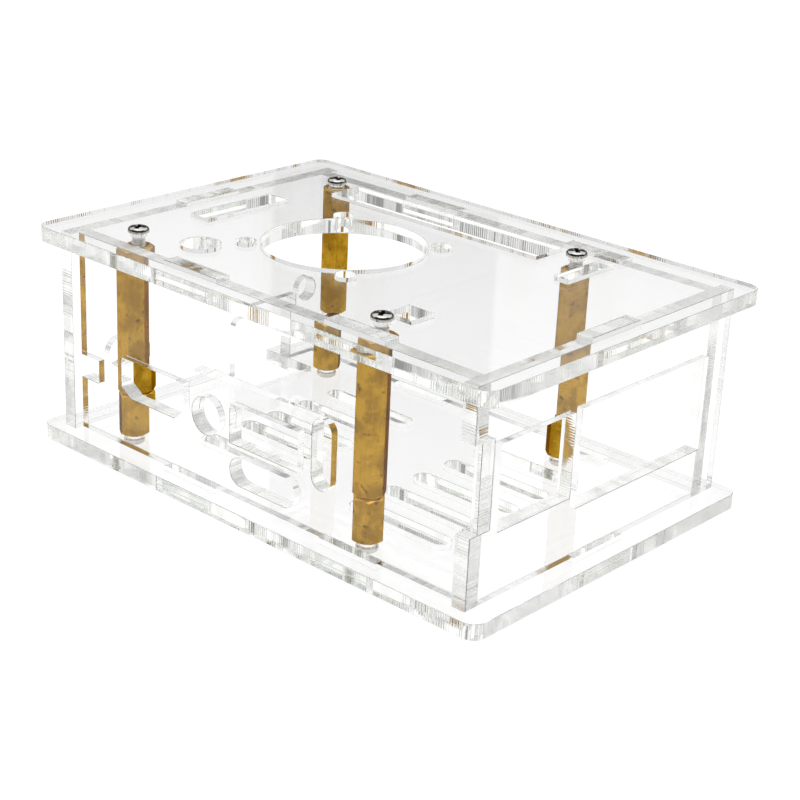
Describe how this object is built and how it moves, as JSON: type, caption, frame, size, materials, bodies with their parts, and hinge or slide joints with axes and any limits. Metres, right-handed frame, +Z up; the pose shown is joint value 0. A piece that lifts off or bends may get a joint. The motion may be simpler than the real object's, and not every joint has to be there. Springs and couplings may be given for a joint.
{
  "type": "single board computer case",
  "caption": "Clear laser-cut sheet case for a credit-card size computer board, tabbed walls clamped between two plates by brass hex standoff columns and pan head screws.",
  "frame": {"origin": "middle of the case in plan, on the surface that the four lower screw heads stand on", "axes": "+X along the long side towards the wall with the two large ports, -Y towards the wall with the row of small ports, +Z up towards the plate with the fan opening"},
  "size_m": [0.104, 0.0706, 0.0422],
  "materials": {
    "acrylic": "clear polished sheet with slightly frosted laser-cut edges",
    "brass": "turned brass, lightly tarnished",
    "nickel": "bright nickel plate"
  },
  "bodies": {
    "root": {"bottom_plate": "acrylic", "top_plate": "acrylic", "front_panel": "acrylic", "back_panel": "acrylic", "left_panel": "acrylic", "right_panel": "acrylic", "standoff_lower_front_left": "brass", "standoff_lower_front_right": "brass", "standoff_lower_back_left": "brass", "standoff_lower_back_right": "brass", "standoff_upper_front_left": "brass", "standoff_upper_front_right": "brass", "standoff_upper_back_left": "brass", "standoff_upper_back_right": "brass", "top_screws": "nickel", "bottom_screws": "nickel"}
  },
  "joints": []
}
